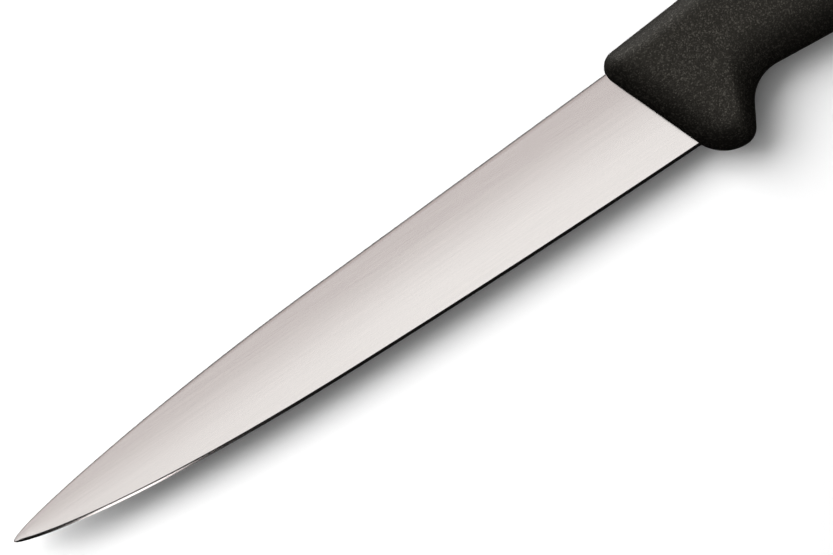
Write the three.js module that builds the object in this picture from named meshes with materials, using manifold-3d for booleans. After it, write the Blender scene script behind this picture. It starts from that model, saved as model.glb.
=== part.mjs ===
import * as THREE from 'three';
import { mergeVertices } from 'three/addons/utils/BufferGeometryUtils.js';
import Module from 'manifold-3d';

// A filleting knife: a narrow, thin, pointed blade whose tang is moulded into a rigid core,
// and a grained grip moulded over the core.
// Lengths are in millimetres. X runs from the tip to the butt, Y from the cutting edge to the
// spine and Z up. The knife lies on its side, with the lower cheek of the grip on Z = 0.
// While it is drawn, X = 0 and Y = 0 are where the middle line of the blade enters the grip.

// Blade outline, with heights measured from the line that runs through the tip.
// The handles are how far each curve's control points lie from its ends.
const BLADE_LENGTH = 180;
const POINT_LENGTH = 90; // the part of the blade that curves in to the tip
const HEEL_SPINE = 13.5;
const SPINE_ANGLE = 2.1;
const SPINE_TIP_HANDLE = 2.6;
const SPINE_REAR_HANDLE = 43.5;
const HEEL_EDGE = 12.9;
const MIDDLE_EDGE = 11.2;
const EDGE_TIP_HANDLE = 1.4;
const EDGE_REAR_HANDLE = 64.7;

// Blade section
const STOCK = 1.6; // thickness at the spine
const TIP_STOCK = 0.5;
const TAPER_LENGTH = 110; // length over which the spine thins to the tip
const POINT_EASE = 4; // length over which both sides close to the very tip
const FLAT_WIDTH = 5.6; // parallel band below the spine, at the heel
const GRIND_BLEND = 14; // length over which the flat rolls into the straight grind, at the heel
const BEVEL_STOCK = 0.44; // thickness where the bevel starts
const BEVEL_WIDTH = 0.78;
const SPINE_CHAMFER = 0.25;

// Heel and tang inside the handle
const HEEL_SEAT = 12; // how far the full width of the blade goes into the handle
const TANG_STOCK = 1.5;
const TANG_WIDTH = 12;
const TANG_MIDDLE = 4.5;
const TANG_COVER = 38; // handle behind the tang
const TANG_CORNER = 3;
const ROOT_FILLET = 2;
const HOLE_COUNT = 3;
const HOLE_DIAMETER = 6;
const FIRST_HOLE = 32;
const LAST_HOLE_COVER = 11; // tang behind the last hole's middle

// Grip outline: the corners of a polygon and the radius that rounds each of them
const GRIP_LENGTH = 133;
const FRONT_SLANT = 21;
const SLANT_FADE = 45; // length over which the sections turn from the front's slant to upright
const BACK_HEIGHT = 16.85;
const BACK_ANGLE = 4;
const BACK_CREST = 60;
const BACK_CREST_RADIUS = 420;
const BACK_FRONT_RADIUS = 4.3;
const GUARD_DEPTH = 18.65;
const GUARD_LENGTH = 16.6;
const GUARD_FRONT_RADIUS = 10.8;
const GUARD_REAR_RADIUS = 4.5;
const NOTCH_START = 23.9;
const NOTCH_DEPTH = 6.25;
const NOTCH_RADIUS = 10.1;
const BELLY_DEPTH = 10.3;
const BELLY_FROM_NECK = 29;
const BELLY_RADIUS = 150;
const NECK_FROM_BUTT = 36;
const NECK_DEPTH = 8;
const NECK_RADIUS = 28;
const HOOK_FROM_BUTT = 15;
const HOOK_DEPTH = 17;
const HOOK_RADIUS = 6;
const BUTT_DEPTH = 9;
const BUTT_LOW_RADIUS = 12;
const BUTT_LEAN = 4.5;
const BUTT_HEIGHT = 13.5;
const BUTT_HIGH_RADIUS = 16;

// Grip section
const GRIP_THICKNESS = 19;
const FRONT_LIP = 4; // thickness of the front edge that closes on the blade
const SHOULDER_LENGTH = 11.5; // length over which the front swells to the full thickness
const BUTT_ROUND = 10; // length over which the butt closes
const BACK_ROUND = 6; // height of the round back
const BELLY_ROUND = 12; // height of the round belly, from the finger notch on
const GUARD_ROUND = 7.5; // the same at the guard

// Layers of the handle
const SKIN_WALL = 2.5;
const MOULD_GAP = 0.2;

// How finely the round surfaces are divided
const BLADE_STATIONS = 40;
const BLADE_CROWDING = 1.7; // 1 is even, and more crowds the sections towards the tip
const BLEND_STEPS = 4;
const HEEL_STATIONS = 6;
const TANG_ARC_STEPS = 6;
const OUTLINE_STEPS = 16;
const END_STEP = 0.05; // how far the first and last sections of the grip lie from its ends
const SKIN_FACETS = { stations: 60, arc: 6, cheek: 2 };
const CORE_FACETS = { stations: 40, arc: 5, cheek: 2 };
const HALVINGS = 40;

const wasm = await Module();
wasm.setup();

// Solid bounded by a closed geometry
function solid(geometry) {
  const bare = geometry.clone();
  bare.deleteAttribute('normal');
  bare.deleteAttribute('uv');
  const welded = mergeVertices(bare);
  return new wasm.Manifold(new wasm.Mesh({
    numProp: 3,
    vertProperties: new Float32Array(welded.attributes.position.array),
    triVerts: new Uint32Array(welded.index.array),
  }));
}

// Named mesh of a finished solid
function piece(name, body, material) {
  const { vertProperties, triVerts } = body.getMesh();
  const geometry = new THREE.BufferGeometry();
  geometry.setAttribute('position', new THREE.BufferAttribute(vertProperties, 3));
  geometry.setIndex(new THREE.BufferAttribute(triVerts, 1));
  geometry.computeVertexNormals();
  const mesh = new THREE.Mesh(geometry, material);
  mesh.name = name;
  return mesh;
}

// Skin over rings of equally many points that follow each other along X, closed by a point at each end.
// Each ring runs from the top over the +Z side to the bottom and back over the -Z side.
function loft(rings, firstPoint, lastPoint) {
  const count = rings[0].length;
  const points = [firstPoint, ...rings.flat(), lastPoint];
  const last = rings.length - 1;
  const at = (ring, i) => 1 + ring * count + (i % count);
  const faces = [];
  for (let i = 0; i < count; i += 1) {
    faces.push(0, at(0, i + 1), at(0, i));
    faces.push(points.length - 1, at(last, i), at(last, i + 1));
    for (let ring = 0; ring < last; ring += 1) {
      faces.push(at(ring, i), at(ring, i + 1), at(ring + 1, i));
      faces.push(at(ring + 1, i), at(ring, i + 1), at(ring + 1, i + 1));
    }
  }
  const geometry = new THREE.BufferGeometry().setFromPoints(points);
  geometry.setIndex(faces);
  return geometry;
}

// Height of a curve at x, found by halving, for a curve that runs towards +X
function heightAt(curve, x) {
  let low = 0;
  let high = 1;
  for (let i = 0; i < HALVINGS; i += 1) {
    const middle = (low + high) / 2;
    if (curve.getPoint(middle).x < x) {
      low = middle;
    } else {
      high = middle;
    }
  }
  return curve.getPoint((low + high) / 2).y;
}

// Blade

const slant = Math.tan(THREE.MathUtils.degToRad(FRONT_SLANT));
const tipX = -BLADE_LENGTH;
const pointX = tipX + POINT_LENGTH;
const spineSlope = Math.tan(THREE.MathUtils.degToRad(SPINE_ANGLE));
const straightSpine = (x) => HEEL_SPINE + spineSlope * x;
const edgeSlope = 2 * (HEEL_EDGE - MIDDLE_EDGE) / (HEEL_SEAT - pointX);
const heelWidth = HEEL_SPINE + HEEL_EDGE;

const spineCurve = new THREE.CubicBezierCurve(
  new THREE.Vector2(tipX, 0),
  new THREE.Vector2(tipX, SPINE_TIP_HANDLE),
  new THREE.Vector2(pointX - SPINE_REAR_HANDLE, straightSpine(pointX - SPINE_REAR_HANDLE)),
  new THREE.Vector2(pointX, straightSpine(pointX)),
);

const edgePoint = new THREE.CubicBezierCurve(
  new THREE.Vector2(tipX, 0),
  new THREE.Vector2(tipX, -EDGE_TIP_HANDLE),
  new THREE.Vector2(pointX - EDGE_REAR_HANDLE, edgeSlope * EDGE_REAR_HANDLE - MIDDLE_EDGE),
  new THREE.Vector2(pointX, -MIDDLE_EDGE),
);

const edgeHeel = new THREE.QuadraticBezierCurve(
  new THREE.Vector2(pointX, -MIDDLE_EDGE),
  new THREE.Vector2((pointX + HEEL_SEAT) / 2, -HEEL_EDGE),
  new THREE.Vector2(HEEL_SEAT, -HEEL_EDGE),
);

const spineY = (x) => (x < pointX ? heightAt(spineCurve, x) : straightSpine(x));
const edgeY = (x) => heightAt(x < pointX ? edgePoint : edgeHeel, x);

// Section of the blade at x, swollen by grow: chamfered spine, parallel flats that roll into a
// straight grind, and the bevel that meets the other side's in the cutting edge
function bladeRing(x, grow) {
  const fromTip = x - tipX;
  const thin = Math.sqrt(Math.min(1, fromTip / POINT_EASE));
  const stock = TIP_STOCK + (STOCK - TIP_STOCK) * Math.min(1, fromTip / TAPER_LENGTH);
  const flatHalf = (stock / 2) * thin;
  const bevelHalf = (BEVEL_STOCK / 2) * thin;
  const top = spineY(x);
  const low = edgeY(x);
  const bevel = Math.min(BEVEL_WIDTH, (top - low) / 3);
  const chamfer = Math.min(SPINE_CHAMFER, flatHalf / 2, (top - low) / 6);
  const flat = FLAT_WIDTH * (top - low) / heelWidth;
  const ground = top - low - flat - bevel;
  const blend = GRIND_BLEND * ground / (heelWidth - FLAT_WIDTH - BEVEL_WIDTH);
  const slope = (flatHalf - bevelHalf) / (ground - blend / 2);
  const side = [[top + grow, flatHalf - chamfer + grow], [top - chamfer + grow, flatHalf + grow]];
  for (let i = 0; i <= BLEND_STEPS; i += 1) {
    const down = blend * (i / BLEND_STEPS);
    const half = flatHalf - slope * down ** 2 / (2 * blend);
    side.push([top - flat - down, half + grow]);
  }
  side.push([low + bevel, bevelHalf + grow]);
  const near = side.map(([y, z]) => new THREE.Vector3(x, y, z));
  const far = side.map(([y, z]) => new THREE.Vector3(x, y, -z)).reverse();
  return [...near, new THREE.Vector3(x, low - grow, 0), ...far];
}

// The whole blade from the tip to the end of the heel
function bladeLoft() {
  const rings = [];
  const length = HEEL_SEAT - tipX;
  for (let i = 1; i <= BLADE_STATIONS; i += 1) {
    rings.push(bladeRing(tipX + length * (i / BLADE_STATIONS) ** BLADE_CROWDING, 0));
  }
  return loft(rings, new THREE.Vector3(tipX, 0, 0), new THREE.Vector3(HEEL_SEAT, 0, 0));
}

// The heel swollen by the gap, for cutting its seat: it starts well in front of the slanted grip
function heelCutter() {
  const rings = [];
  const start = -HEEL_SEAT - slant * BACK_HEIGHT;
  const end = HEEL_SEAT + MOULD_GAP;
  for (let i = 0; i <= HEEL_STATIONS; i += 1) {
    rings.push(bladeRing(start + (end - start) * (i / HEEL_STATIONS), MOULD_GAP));
  }
  return loft(rings, new THREE.Vector3(start, 0, 0), new THREE.Vector3(end, 0, 0));
}

const tangEnd = GRIP_LENGTH - TANG_COVER;
const tangLow = TANG_MIDDLE - TANG_WIDTH / 2;
const tangHigh = TANG_MIDDLE + TANG_WIDTH / 2;
const shoulder = Math.min(straightSpine(HEEL_SEAT) - tangHigh, HEEL_EDGE + tangLow);
const rootFillet = Math.min(ROOT_FILLET, shoulder / 2);

// Tang swollen by grow, rooted halfway into the heel, with round root fillets and with locking
// holes that shrink by as much as the tang swells
function tangGeometry(grow) {
  const root = HEEL_SEAT + grow;
  const end = tangEnd + grow;
  const low = tangLow - grow;
  const high = tangHigh + grow;
  const fillet = rootFillet - grow;
  const corner = TANG_CORNER + grow;
  const quarter = Math.PI / 2;
  const outline = new THREE.Shape();
  outline.moveTo(HEEL_SEAT / 2, low - fillet);
  outline.absarc(root + fillet, low - fillet, fillet, Math.PI, quarter, true);
  outline.absarc(end - corner, low + corner, corner, -quarter, 0, false);
  outline.absarc(end - corner, high - corner, corner, 0, quarter, false);
  outline.absarc(root + fillet, high + fillet, fillet, -quarter, -Math.PI, true);
  outline.lineTo(HEEL_SEAT / 2, high + fillet);
  const pitch = (tangEnd - LAST_HOLE_COVER - FIRST_HOLE) / (HOLE_COUNT - 1);
  for (let i = 0; i < HOLE_COUNT; i += 1) {
    const hole = new THREE.Path();
    hole.absarc(FIRST_HOLE + pitch * i, TANG_MIDDLE, HOLE_DIAMETER / 2 - grow, 0, 2 * Math.PI, true);
    outline.holes.push(hole);
  }
  const depth = TANG_STOCK + 2 * grow;
  const options = { depth, bevelEnabled: false, curveSegments: TANG_ARC_STEPS };
  const geometry = new THREE.ExtrudeGeometry(outline, options);
  return geometry.translate(0, 0, -depth / 2);
}

// Grip

const backSlope = Math.tan(THREE.MathUtils.degToRad(BACK_ANGLE));
const frontBackY = BACK_HEIGHT / (1 + backSlope * slant);
const neckX = GRIP_LENGTH - NECK_FROM_BUTT;

// Corners of the grip, anticlockwise from the guard's front corner
const gripCorners = [
  { x: GUARD_DEPTH * slant, y: -GUARD_DEPTH, radius: GUARD_FRONT_RADIUS },
  { x: GUARD_LENGTH, y: -GUARD_DEPTH, radius: GUARD_REAR_RADIUS },
  { x: NOTCH_START, y: -NOTCH_DEPTH, radius: NOTCH_RADIUS },
  { x: neckX - BELLY_FROM_NECK, y: -BELLY_DEPTH, radius: BELLY_RADIUS },
  { x: neckX, y: -NECK_DEPTH, radius: NECK_RADIUS },
  { x: GRIP_LENGTH - HOOK_FROM_BUTT, y: -HOOK_DEPTH, radius: HOOK_RADIUS },
  { x: GRIP_LENGTH, y: -BUTT_DEPTH, radius: BUTT_LOW_RADIUS },
  { x: GRIP_LENGTH - BUTT_LEAN, y: BUTT_HEIGHT, radius: BUTT_HIGH_RADIUS },
  { x: BACK_CREST, y: BACK_HEIGHT + backSlope * BACK_CREST, radius: BACK_CREST_RADIUS },
  { x: -slant * frontBackY, y: frontBackY, radius: BACK_FRONT_RADIUS },
];

const wrap = (list, i) => list[(i + list.length) % list.length];

// The corners moved inwards by inset, with hollow corners' radii growing and the others' shrinking
function insetCorners(inset) {
  const points = gripCorners.map(({ x, y }) => new THREE.Vector2(x, y));
  const edges = points.map((point, i) => wrap(points, i + 1).clone().sub(point).normalize());
  return gripCorners.map(({ radius }, i) => {
    const before = wrap(edges, i - 1);
    const after = edges[i];
    const turn = before.cross(after);
    const shift = inset * (1 - before.dot(after)) / turn;
    const inward = new THREE.Vector2(-before.y, before.x).multiplyScalar(inset);
    const point = points[i].clone().add(inward).addScaledVector(before, -shift);
    return { point, hollow: turn < 0, radius: Math.max(END_STEP, radius - Math.sign(turn) * inset) };
  });
}

// Outline of the grip moved inwards by inset, split into the chain along the belly and the chain
// along the back, both running from the middle of the front to the rearmost point
function gripChains(inset) {
  const corners = insetCorners(inset);
  const arcs = corners.map((corner, i) => {
    const before = wrap(corners, i - 1).point.clone().sub(corner.point);
    const after = wrap(corners, i + 1).point.clone().sub(corner.point);
    const half = before.angleTo(after) / 2;
    return { ...corner, before, after, half, reach: corner.radius / Math.tan(half) };
  });
  const path = new THREE.Path();
  const front = corners[0].point.clone().add(wrap(corners, -1).point).divideScalar(2);
  path.moveTo(front.x, front.y);
  arcs.forEach(({ point, hollow, before, after, half, reach }, i) => {
    const room = Math.min(
      before.length() / (reach + wrap(arcs, i - 1).reach),
      after.length() / (reach + wrap(arcs, i + 1).reach),
    );
    const held = reach * Math.min(1, room);
    const radius = held * Math.tan(half);
    const from = point.clone().addScaledVector(before.clone().normalize(), held);
    const to = point.clone().addScaledVector(after.clone().normalize(), held);
    const middle = from.clone().add(to).divideScalar(2).sub(point);
    const centre = point.clone().addScaledVector(middle.normalize(), radius / Math.sin(half));
    path.lineTo(from.x, from.y);
    const start = from.sub(centre).angle();
    const stop = to.sub(centre).angle();
    path.absarc(centre.x, centre.y, radius, start, stop, hollow);
  });
  path.lineTo(front.x, front.y);
  const points = path.getPoints(OUTLINE_STEPS);
  const rear = points.reduce((best, point, i) => (point.x > points[best].x ? i : best), 0);
  return { belly: points.slice(0, rear + 1), back: points.slice(rear).reverse(), rear: points[rear] };
}

const buttX = gripChains(0).rear.x;

// Lean of the section that crosses the middle line at x: that of the front, fading to upright
const lean = (x) => slant * (1 - THREE.MathUtils.smoothstep(x, 0, SLANT_FADE));

// Where a chain crosses the leaning section at x
function crossing(chain, x) {
  const along = chain.map((point) => point.x + lean(x) * point.y - x);
  const i = along.findIndex((value, index) => value <= 0 && along[index + 1] > 0);
  return chain[i].clone().lerp(chain[i + 1], along[i] / (along[i] - along[i + 1]));
}

// Quarter of an ellipse that rises from 0 to 1 as t goes from 0 to 1
const easeRound = (t) => Math.sqrt(1 - (1 - THREE.MathUtils.clamp(t, 0, 1)) ** 2);

// Half thickness of the grip at x: a lip at the front, a round shoulder, flat cheeks, a round butt
function gripHalf(x) {
  const lip = FRONT_LIP / 2;
  const shoulder = lip + (GRIP_THICKNESS / 2 - lip) * easeRound(x / SHOULDER_LENGTH);
  return shoulder * easeRound((buttX - x) / BUTT_ROUND);
}

// Height of the round belly at x: lower at the guard than from the finger notch on
function bellyRound(x) {
  const share = THREE.MathUtils.smoothstep(x, SHOULDER_LENGTH, NOTCH_START);
  return THREE.MathUtils.lerp(GUARD_ROUND, BELLY_ROUND, share);
}

// Section of the grip at x, inset on all sides: an elliptic back and belly joined by flat cheeks
function gripRing(chains, x, inset, facets) {
  const low = crossing(chains.belly, x);
  const rise = crossing(chains.back, x).sub(low);
  const height = rise.length();
  const round = bellyRound(x);
  const share = Math.min(1, height / (BACK_ROUND + round - 2 * inset));
  const back = (BACK_ROUND - inset) * share;
  const belly = (round - inset) * share;
  const half = gripHalf(x) - inset;
  const side = [];
  for (let i = 0; i <= facets.arc; i += 1) {
    const turn = (Math.PI / 2) * (i / facets.arc);
    side.push([height - back + back * Math.cos(turn), half * Math.sin(turn)]);
  }
  for (let i = 1; i < facets.cheek; i += 1) {
    side.push([THREE.MathUtils.lerp(height - back, belly, i / facets.cheek), half]);
  }
  for (let i = 0; i <= facets.arc; i += 1) {
    const turn = (Math.PI / 2) * (i / facets.arc);
    side.push([belly - belly * Math.sin(turn), half * Math.cos(turn)]);
  }
  rise.normalize();
  const place = (up, z) => new THREE.Vector3(low.x + rise.x * up, low.y + rise.y * up, z);
  const near = side.map(([up, z]) => place(up, z));
  const far = side.slice(1, -1).map(([up, z]) => place(up, -z)).reverse();
  return [...near, ...far];
}

// The grip's shape, inset on all sides, with its stations crowded towards both ends
function gripLoft(inset, facets) {
  const chains = gripChains(inset);
  const front = chains.belly[0];
  const frontX = front.x + slant * front.y;
  const length = chains.rear.x - frontX - 2 * END_STEP;
  const rings = [];
  for (let i = 0; i <= facets.stations; i += 1) {
    const along = (1 - Math.cos(Math.PI * (i / facets.stations))) / 2;
    rings.push(gripRing(chains, frontX + END_STEP + length * along, inset, facets));
  }
  return loft(
    rings,
    new THREE.Vector3(front.x, front.y, 0),
    new THREE.Vector3(chains.rear.x, chains.rear.y, 0),
  );
}

// Assembly

const steel = new THREE.MeshStandardMaterial({ color: 0xcdc8c5, roughness: 0.32, metalness: 1 });
const grained = new THREE.MeshStandardMaterial({ color: 0x1f1d1b, roughness: 0.8, metalness: 0 });
const moulded = new THREE.MeshStandardMaterial({ color: 0x2c2b2a, roughness: 0.6, metalness: 0 });

const bladeSeat = solid(heelCutter()).add(solid(tangGeometry(MOULD_GAP)));
const blade = solid(bladeLoft()).add(solid(tangGeometry(0)));
const core = solid(gripLoft(SKIN_WALL, CORE_FACETS)).subtract(bladeSeat);
const coreSeat = solid(gripLoft(SKIN_WALL - MOULD_GAP, CORE_FACETS));
const skin = solid(gripLoft(0, SKIN_FACETS)).subtract(coreSeat).subtract(bladeSeat);

const knife = new THREE.Group();
knife.add(piece('blade', blade, steel));
knife.add(piece('handle_core', core, moulded));
knife.add(piece('grip_skin', skin, grained));

// The origin is under the middle of the knife, on the surface that it lies on
const box = new THREE.Box3().setFromObject(knife);
const middle = box.getCenter(new THREE.Vector3());
knife.position.set(-middle.x, -middle.y, -box.min.z);

export default knife;
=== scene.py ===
"""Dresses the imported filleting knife: a satin ground blade, a black grained grip and a white studio.

The blade and the grip are numpy surfaces that follow the frame's own sizes, and the core inside the
grip keeps its solid. X runs from the tip to the butt, Y from the cutting edge to the spine, Z up.
"""

import math

import bmesh
import bpy
import numpy as np
from bpy.props import FloatProperty, FloatVectorProperty, IntProperty, PointerProperty
from mathutils import Euler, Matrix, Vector


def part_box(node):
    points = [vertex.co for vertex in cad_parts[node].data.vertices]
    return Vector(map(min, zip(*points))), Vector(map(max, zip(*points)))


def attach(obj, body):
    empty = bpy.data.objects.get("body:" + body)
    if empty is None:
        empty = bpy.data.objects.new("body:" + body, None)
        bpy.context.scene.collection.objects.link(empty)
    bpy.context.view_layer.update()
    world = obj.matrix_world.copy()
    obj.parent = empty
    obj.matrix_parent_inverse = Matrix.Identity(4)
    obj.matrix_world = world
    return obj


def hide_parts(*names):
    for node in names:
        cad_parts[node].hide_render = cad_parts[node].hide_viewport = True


bl_info = {
    "name": "Filleting knife",
    "version": (1, 0, 0),
    "blender": (4, 5, 0),
    "location": "3D View > Sidebar > Knife",
    "description": "Makes a filleting knife with a ground blade and a moulded grip, in a white studio",
    "category": "Add Mesh",
}

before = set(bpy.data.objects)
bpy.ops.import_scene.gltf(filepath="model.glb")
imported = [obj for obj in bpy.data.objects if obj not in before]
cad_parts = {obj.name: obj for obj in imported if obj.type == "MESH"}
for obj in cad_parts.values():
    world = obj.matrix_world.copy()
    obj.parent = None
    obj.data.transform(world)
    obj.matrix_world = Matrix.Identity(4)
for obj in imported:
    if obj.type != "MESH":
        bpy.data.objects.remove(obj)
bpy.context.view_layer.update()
BLADE_LOW, BLADE_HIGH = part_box("blade")
GRIP_LOW, GRIP_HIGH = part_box("grip_skin")

SENSOR_WIDTH = 36.0
VIEW_END = 50

# Points on each curve of the blade's outline and on each corner of the grip's, and how close two
# points lie to count as one
CURVE_STEPS = 2000
ARC_STEPS = 48
MERGE_DISTANCE = 1e-7
MERGE_DIGITS = 9

# How many steps the blade's section has over each part of one side, from the spine to the edge
SPINE_STEPS = 3
CORNER_STEPS = 8
FLAT_STEPS = 8
BLEND_STEPS = 24
GRIND_STEPS = 12
BEVEL_STEPS = 6

# How many stations lie along the blade and its tang, and how much they crowd towards the tip
BLADE_STATIONS = 260
TANG_STATIONS = 40
CROWDING = 1.7

# Sides of a locking hole, and how far the surface turns at a hole's rim at the least
HOLE_SIDES = 64
RIM_ANGLE = math.radians(60)

# Towards the point, the bevel and the spine's corner stay within these shares of the width and of the
# half thickness. The tang's corners and its hint of a bevel are a share of its half thickness.
BEVEL_SHARE = 1 / 3
CORNER_WIDTH_SHARE = 1 / 6
CORNER_HALF_SHARE = 0.7
TANG_CORNER_SHARE = 1 / 4

# Steps of the grip's section over each part of one side, from the back to the belly, the stations
# along the grip, and how much the steps crowd towards the parting line
BACK_STEPS = 36
CHEEK_STEPS = 16
BELLY_STEPS = 36
GRIP_STATIONS = 280
SEAM_CROWDING = 1.5

# Brush lines: how far they are drawn out, their noise, their contrast on the faces and on the bevel,
# and their height
BRUSH_SCALE = (0.02, 1, 1)
BRUSH_DETAIL = 4
BRUSH_ROUGHNESS = 0.7
SATIN_CONTRAST = 0.17
BEVEL_CONTRAST = 0.2
BRUSH_HEIGHT = 2e-7

# Grain: its noise, the range of the noise that spreads the ground colour from none to double, how
# much smoother a speck is, how rare the specks are, how high the grain is, and how fine the core's
# grain is beside the grip's
GRAIN_DETAIL = 3
GROUND_NOISE = (0.3, 0.7)
GROUND_SPREAD = (0, 2)
SPECK_SMOOTHING = -0.3
GRIP_RARITY = 4.5
CORE_RARITY = 7.0
GRIP_HEIGHT = 6e-5
CORE_HEIGHT = 1e-5
CORE_FINENESS = 0.5

# How strongly the grip mirrors and in what tint, and the finish of the floor and the room
GRIP_SPECULAR = 0.45
GRIP_SPECULAR_TINT = (1, 0.93, 0.8, 1)
PAPER_ROUGHNESS = 0.9
WHITE = (1, 1, 1, 1)

# Each softbox by its azimuth and elevation in degrees, its distance and its two sides in metres
LIGHTS = {
    "key": (118.6, 49.6, 1.1, (0.78, 0.91)),
    "fill": (0, 90, 2, (5.6, 5.6)),
    "low_fill": (142, 58.3, 2, (2.6, 2.6)),
    "overhead": (90, 86, 1.2, (1.1, 1.1)),
    "strip": (90, -3, 1.1, (1.4, 1.4)),
    "ceiling": (90, 72.5, 1.2, (0.81, 1.2)),
    "card": (270, 80, 1.2, (0.37, 1.2)),
    "glint": (243.7, 51.5, 1.2, (0.2, 0.1)),
}

# The blade's side lights: azimuth, elevation and height of each, then what they share
SIDE_LIGHTS = ((0, 28, 2.4), (90, 18, 1.3), (180, 28, 2.4), (270, 18, 1.3))
SIDE_DISTANCE = 2.4
SIDE_WIDTH = 4.8


def length(label, millimetres, note):
    """A length that is given in millimetres and kept in metres."""
    return FloatProperty(
        name=label, description=note, default=millimetres / 1000, unit="LENGTH", precision=5
    )


def angle(label, degrees, note):
    """An angle that is given in degrees and kept in radians."""
    return FloatProperty(name=label, description=note, default=math.radians(degrees), unit="ROTATION")


def colour(label, rgb, note):
    """A colour in linear light."""
    return FloatVectorProperty(
        name=label, description=note, default=rgb, subtype="COLOR", size=3, min=0, max=1
    )


def share(label, value, note):
    """A share from 0 to 1."""
    return FloatProperty(
        name=label, description=note, default=value, subtype="FACTOR", min=0, max=1
    )


def power(label, watts, note):
    """The power of a light."""
    return FloatProperty(name=label, description=note, default=watts, unit="POWER", min=0)


class BladeSizes(bpy.types.PropertyGroup):
    """Sizes of the blade and its tang. Heights are measured from the line through the tip."""

    length: length("Length", 180, "From the tip to the grip along the middle line")
    point: length("Point", 90, "Part of the length that curves in to the tip")
    heel_spine: length("Spine at the heel", 13.5, "Height of the spine where the blade enters the grip")
    spine_angle: angle("Spine angle", 2.1, "How far the straight spine falls towards the tip")
    spine_tip_handle: length("Spine tip handle", 2.6, "How bluntly the spine starts at the tip")
    spine_rear_handle: length("Spine rear handle", 43.5, "How softly the spine leaves its straight part")
    heel_edge: length("Edge at the heel", 12.9, "Depth of the edge where the blade enters the grip")
    middle_edge: length("Edge at the point", 11.2, "Depth of the edge where the point starts")
    edge_tip_handle: length("Edge tip handle", 1.4, "How bluntly the edge starts at the tip")
    edge_rear_handle: length("Edge rear handle", 64.7, "How softly the edge leaves the heel's curve")
    stock: length("Stock", 1.6, "Thickness of the steel sheet at the spine")
    tip_stock: length("Tip stock", 0.5, "Thickness of the spine close to the tip")
    taper: length("Taper", 110, "Length over which the spine thins to the tip")
    point_ease: length("Point ease", 4, "Length over which both sides close to the very tip")
    corner: length("Spine corner", 0.4, "Radius of the eased corners along the spine")
    flat: length("Flat", 5.6, "Parallel band below the spine, at the heel")
    blend: length("Blend", 14, "Length over which the flat rolls into the straight grind, at the heel")
    bevel_stock: length("Bevel stock", 0.44, "Thickness where the edge bevel starts")
    bevel: length("Bevel", 0.78, "Width of the edge bevel")
    bevel_crown: length("Bevel crown", 0.012, "How far the honed bevel swells between its two lines")
    heel_seat: length("Heel seat", 12, "How far the full width of the blade goes into the grip")
    tang_stock: length("Tang stock", 1.5, "Thickness of the tang")
    tang_width: length("Tang width", 12, "Width of the tang")
    tang_middle: length("Tang middle", 4.5, "Height of the tang's middle line")
    tang_corner: length("Tang corner", 3, "Radius of the tang's rear corners")
    root_fillet: length("Root fillet", 2, "Radius between the heel and the tang")
    hole_count: IntProperty(
        name="Holes", description="Locking holes in the tang", default=3, min=2
    )
    hole_diameter: length("Hole", 6, "Diameter of the locking holes")
    first_hole: length("First hole", 32, "Place of the first hole's middle")
    last_hole_cover: length("Last hole cover", 11, "Tang behind the last hole's middle")


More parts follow.
